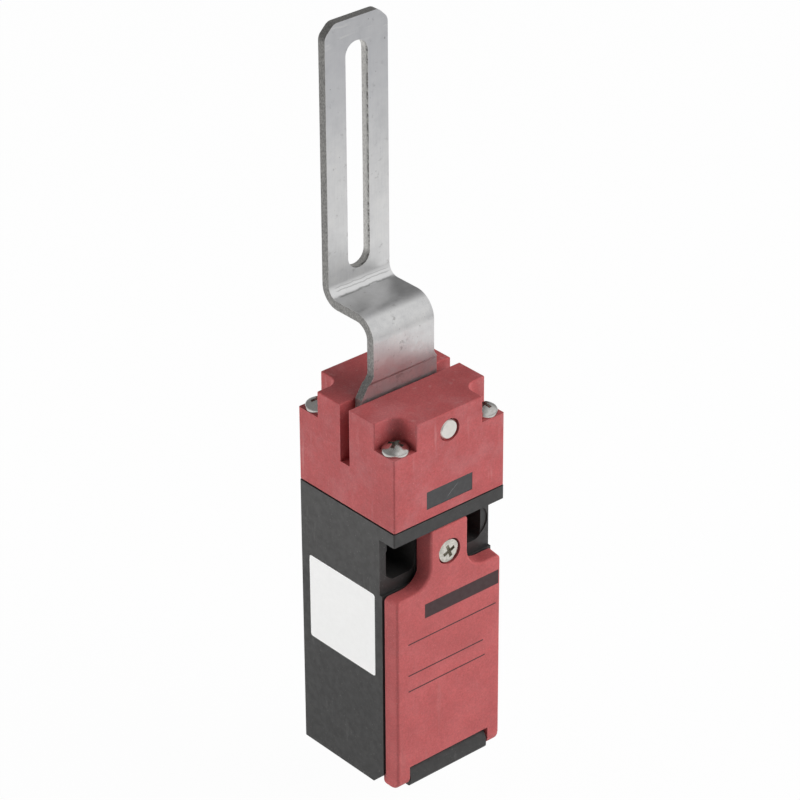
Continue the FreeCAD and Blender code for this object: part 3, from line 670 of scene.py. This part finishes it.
def black_plastic(name, seams):
    """Matt moulded black with faint pale specks and small scuffs, a painted sheen high on its left side, and
    greyer edges from wear and a painted edge highlight.
    """
    shade = Shade(name)
    colour = shade.ramp(shade.noise(*black_grain, rough=rough_noise), black_tones)
    colour = shade.coat(colour, shade.spots(*black_speck_spots), pale_grey, black_speck_strength)
    scuffs = shade.spots(*black_scuff_spots, black_scuff_stretch)
    colour = shade.coat(colour, scuffs, pale_grey, black_scuff_strength)
    # Painted sheen: paler towards the top of the left side, where more light falls
    on_left = shade.until(shade.normal()["X"], *left_facing)
    dust_and_sheen = shade.times(on_left, shade.step(shade.place()["Z"], *black_upper_left_sheen_levels))
    colour = shade.coat(colour, dust_and_sheen, pale_grey, black_upper_left_sheen_strength)
    # Greyer edges from wear and a painted edge highlight
    wear_and_highlight = shade.times(shade.edges(edge_radius, seams), shade.spots(*black_wear_and_highlight_spots))
    colour = shade.coat(colour, wear_and_highlight, pale_grey, black_wear_and_highlight_strength)
    shade.link("Base Color", colour)
    shade.sheen(*black_sheen)
    shade.set("Specular IOR Level", black_specular)
    shade.relief(*black_relief)
    return shade.material


def sheet_faces(shade, cloud, patch, foot):
    """Colour of the lever's faces: cloudy satin, darker on the foot, with stains and pits; the plate painted
    paler and its top darker and cooler as painted reflection, and painted shade on the web.
    """
    x, y, z = shade.place()
    brushed = shade.noise(*brushed_grain, brushed_stretch)
    tone = shade.mixture((cloud, cloud_share), (patch, patch_share), (brushed, brushed_share))
    colour = shade.ramp(tone, sheet_tones)
    # Painted reflection: the plate paler than the shank
    colour = shade.coat(colour, shade.step(z, *plate_reflection_levels), *plate_reflection_coat)
    # Painted shade on the web's upward faces
    web_shade = shade.math("ADD", shade.step(cloud, *web_cloud, *web_cloud_range),
                     shade.step(x, *web_right, 0.0, web_right_more))
    web_shade = shade.times(web_shade, shade.step(shade.normal()["Z"], *up_facing))
    colour = shade.coat(colour, web_shade, *web_shade_coat)
    colour = shade.coat(colour, foot, *foot_coat)
    stains = shade.spots(*stain_spots, rough=stain_rough_noise)
    colour = shade.coat(colour, stains, *stain_coat)
    # Painted reflection: darker and cooler towards the top of the plate
    colour = shade.coat(colour, shade.step(z, *cool_shade_levels), *cool_shade_coat)
    return shade.coat(colour, shade.spots(*pit_spots), *pit_coat)


def press_marks(shade, colour):
    """Colour with the press's bright band, partly a painted highlight, and wavy dark lines over it."""
    x, y, z = shade.place()
    front = shade.times(shade.until(shade.normal()["Y"], *front_facing), shade.step(y, *plate_front))
    wave = shade.times(shade.math("SUBTRACT", shade.noise(*press_grain), 0.5), press_wave)
    level = shade.math("ADD", z, wave)
    across = shade.math("ADD", x, shade.times(wave, press_end_wave))
    length = shade.inside(across, press_left, press_right, press_ends)
    # Bright pressed band, partly a painted highlight
    coined_highlight = shade.times(shade.inside(z, coined_highlight_low, coined_highlight_high, coined_highlight_soft), front)
    colour = shade.coat(colour, coined_highlight, *coined_highlight_coat)
    for low, strength in press_lines:
        line = shade.times(shade.inside(level, low, low + press_width, press_soft), front)
        colour = shade.coat(colour, shade.times(line, length), press_dark, strength)
    return colour


def sheared_edges(shade, patch, torn):
    """Colour of the lever's sheared edges: torn grey outside, bright with dark dashes in the slot."""
    x, y, z = shade.place()
    dashes = shade.times(shade.step(patch, *burr_patch, burr_patch_least), shade.step(torn, *burr_torn))
    dashes = shade.times(dashes, shade.until(y, *burr_depths))
    bright = shade.coat(shade.ramp(torn, slot_tones), dashes, *burr_coat)
    in_slot = shade.times(shade.inside(x, -slot_half, slot_half, slot_side_soft),
                          shade.inside(z, slot_low, slot_high, slot_end_soft))
    return shade.blend(in_slot, shade.ramp(torn, edge_tones), bright)


def lever_steel(name):
    """Satin stainless sheet: cloudy, marked by the press, scuffed on top, with sheared edges, and painted
    shade, reflections and highlights.
    """
    shade = Shade(name)
    z = shade.place()["Z"]
    normal_x, normal_y, normal_z = shade.normal()
    cloud = shade.noise(*cloud_grain, rough=rough_noise)
    patch = shade.noise(*patch_grain, rough=rough_noise)
    torn = shade.noise(*torn_grain, torn_stretch, rough_noise)
    side = shade.step(shade.math("ABSOLUTE", normal_x), *side_facing)
    across = shade.until(shade.math("ABSOLUTE", normal_y), *across_facing)
    sheared = shade.larger(side, shade.times(across, shade.step(z, *across_levels)))
    foot = shade.times(shade.until(z, *foot_levels), shade.step(patch, *foot_patch, foot_patch_least))
    bent = shade.inside(normal_z, bend_low, bend_high, bend_soft)

    colour = press_marks(shade, sheet_faces(shade, cloud, patch, foot))
    scuffs = shade.times(shade.spots(*scuff_spots, scuff_stretch), shade.step(z, *scuff_levels))
    colour = shade.coat(colour, scuffs, *scuff_coat)
    colour = shade.blend(sheared, colour, sheared_edges(shade, patch, torn))
    # Painted highlight along the edges
    rim_highlight = shade.times(shade.edges(rim_highlight_radius), shade.step(torn, *rim_torn, rim_torn_least))
    shade.link("Base Color", shade.coat(colour, rim_highlight, *rim_highlight_coat))

    face_rough = shade.step(patch, *sheet_rough_patch, *sheet_rough_range)
    rough = shade.larger(face_rough, shade.times(bent, bend_roughness))
    shade.link("Roughness", shade.larger(rough, shade.times(sheared, sheared_roughness)))
    # Less metallic on the foot's faces, in patches
    foot_dulling = shade.times(foot, shade.math("SUBTRACT", 1.0, sheared))
    shade.link("Metallic", shade.math("SUBTRACT", 1.0, shade.times(foot_dulling, foot_dullness)))
    face_share = shade.math("ADD", shade.times(bent, bend_relief), sheet_relief_share)
    face_relief = shade.times(shade.noise(*sheet_relief_grain), face_share)
    edge_relief = shade.times(torn, shade.times(sheared, sheared_relief))
    shade.bump(shade.math("ADD", face_relief, edge_relief), sheet_relief_depth)
    return shade.material


def scratched_black(name):
    """Smooth black inlay with one fine pale scratch."""
    shade = Shade(name)
    x, y, z = shade.place()
    colour = shade.ramp(shade.noise(*inlay_grain), inlay_tones)
    wave = shade.times(shade.noise(*scratch_grain), scratch_wave)
    level = shade.math("SUBTRACT", z, shade.math("ADD", shade.times(x, scratch_slope), wave))
    scratch = shade.times(shade.inside(level, scratch_low, scratch_high, scratch_soft),
                          shade.inside(x, scratch_left, scratch_right, scratch_ends))
    shade.link("Base Color", shade.coat(colour, scratch, *scratch_coat))
    shade.sheen(*inlay_sheen)
    shade.set("Specular IOR Level", inlay_specular)
    shade.relief(*inlay_relief)
    return shade.material


def bright_metal(name, dark, light, rough_low, rough_high, depth):
    """Plated or turned metal with a soft sheen."""
    shade = Shade(name)
    tones = list(zip(metal_levels, (dark, light)))
    shade.link("Base Color", shade.ramp(shade.noise(*metal_grain), tones))
    shade.sheen(*metal_sheen_grain, rough_low, rough_high)
    shade.set("Metallic", 1.0)
    shade.relief(*metal_relief_grain, depth)
    return shade.material


def plain_moulding(name, dark, light, rough_low, rough_high, specular):
    """Moulded plastic, rubber or film with a faint mottle."""
    shade = Shade(name)
    tones = list(zip(moulding_levels, (dark, light)))
    shade.link("Base Color", shade.ramp(shade.noise(*moulding_grain), tones))
    shade.sheen(*moulding_sheen_grain, rough_low, rough_high)
    shade.set("Specular IOR Level", specular)
    shade.relief(*moulding_relief)
    return shade.material


def level_top(node):
    """Top of a part in millimetres, where the next level of the same moulding goes on."""
    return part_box(node)[1][2] / millimetre


def all_materials():
    """Material of every finish, by the finish's name."""
    head_seams = [level_top("head_casing")]
    body_seams = [level_top(node) for node in ("body_base", "body_housing", "body_mount")]
    made = {
        "red_plastic": red_plastic("red_plastic", head_red, head_dust_and_sheen, head_seams),
        "red_plastic_printed": red_plastic("red_plastic_printed", cover_red, cover_dust_and_sheen, printed=True),
        "black_plastic": black_plastic("black_plastic", body_seams),
        "inlay_black": scratched_black("inlay_black"),
        "stainless": lever_steel("stainless"),
    }
    for name, settings in metals.items():
        made[name] = bright_metal(name, *settings)
    for name, settings in mouldings.items():
        made[name] = plain_moulding(name, *settings)
    return made


def paint(finishes):
    """Give every part its own finish, or else the one that the record names."""
    for part in frame["record"]["subparts"]:
        node = part["node"]
        mesh = nodes[node].data
        mesh.materials.clear()
        mesh.materials.append(finishes[own_finishes.get(node, part["material_slot"])])


def swept(name, loops, material):
    """Closed solid through loops of points, all with as many points, with a flat face on each end."""
    sides = len(loops[0])
    last = sides * (len(loops) - 1)
    faces = [tuple(reversed(range(sides))), tuple(last + corner for corner in range(sides))]
    for first in range(0, last, sides):
        for corner in range(sides):
            other = (corner + 1) % sides
            faces.append((first + corner, first + other, first + sides + other, first + sides + corner))
    mesh = bpy.data.meshes.new(name)
    mesh.from_pydata([point for loop in loops for point in loop], [], faces)
    mesh.materials.append(material)
    piece = bpy.data.objects.new(name, mesh)
    scene.collection.objects.link(piece)
    return piece


def thread(name, place, wall, crest, pitch, start, end, material):
    """Helical ridge from a wall's radius to its crest's; place(radius, angle, along) gives each point."""
    count = round((end - start - pitch) / pitch * turn_steps)
    loops = []
    for step in range(count + 1):
        turns_from_end = min(step, count - step) / turn_steps
        height = max(run_out_least, min(1.0, turns_from_end / run_out_turns))
        top = wall + (crest - wall) * height
        angle = 2 * math.pi * step / turn_steps
        along = start + pitch / 2 + pitch * step / turn_steps
        section = ((wall, -thread_foot), (top, -thread_crest), (top, thread_crest), (wall, thread_foot))
        loops.append([place(radius, angle, along + shift * pitch) for radius, shift in section])
    return swept(name, loops, material)


def add_entry_thread(material):
    """Thread in the cable entry."""
    entry = next(mount for mount in frame["record"]["mounts"] if mount["name"] == "cable_entry")
    middle = Vector(entry["pos_m"])
    bore = entry["dims"]["r_mm"] * millimetre
    half = entry["dims"]["length_mm"] * millimetre / 2

    def place(radius, angle, along):
        return middle + Vector((radius * math.cos(angle), radius * math.sin(angle), along))

    wall = bore + thread_sink
    crest = bore - entry_ridge
    piece = thread("entry_thread", place, wall, crest, entry_pitch, -half, half, material)
    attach(piece, "switch_body")


def add_screw_thread(material):
    """Thread on the cover screw, from its retaining ring to its tip."""
    low, high = (Vector(corner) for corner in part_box("cover_screw"))
    axis = (low + high) / 2

    def place(radius, angle, along):
        return Vector((axis.x + radius * math.sin(angle), along, axis.z + radius * math.cos(angle)))

    wall = screw_shank / 2 - thread_sink
    crest = screw_shank / 2 + screw_ridge
    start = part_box("screw_retainer")[1][1] + screw_pitch
    tip = high.y - screw_pitch
    piece = thread("cover_screw_thread", place, wall, crest, screw_pitch, start, tip, material)
    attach(piece, "cover")


def add_return_spring(material):
    """Coil spring with closed end turns, in place of the record's spring."""
    low, high = (Vector(corner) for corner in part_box("return_spring"))
    middle = (low + high) / 2
    radius = (high.x - low.x - spring_wire) / 2
    count = round(spring_turns * turn_steps)
    dead = spring_dead_turns / spring_turns
    rise = high.z - low.z - spring_wire
    loops = []
    for step in range(count + 1):
        share = step / count
        open_share = min(1.0, max(0.0, (share - dead) / (1 - 2 * dead)))
        closed_share = (min(share, dead) + max(0.0, share + dead - 1)) / dead / 2
        closed_rise = spring_wire * 2 * closed_share
        open_rise = (rise - spring_wire * 2) * open_share
        level = low.z + spring_wire / 2 + closed_rise + open_rise
        angle = 2 * math.pi * step / turn_steps
        loop = []
        for corner in range(spring_sides):
            turn = 2 * math.pi * corner / spring_sides
            out = radius + spring_wire / 2 * math.cos(turn)
            height = level + spring_wire / 2 * math.sin(turn)
            loop.append((middle.x + out * math.cos(angle), middle.y + out * math.sin(angle), height))
        loops.append(loop)
    piece = swept("return_spring_coil", loops, material)
    piece.data.polygons.foreach_set("use_smooth", [True] * len(piece.data.polygons))
    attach(piece, "switch_body")
    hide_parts("return_spring")
    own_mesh(piece)


add_camera()
add_world()
area_light("key", key_place, key_size, key_power)
area_light("fill", fill_place, fill_size, fill_power)
add_floor()
materials = all_materials()
paint(materials)
add_entry_thread(materials["black_plastic"])
add_screw_thread(materials["bright_steel"])
add_return_spring(materials["spring_steel"])
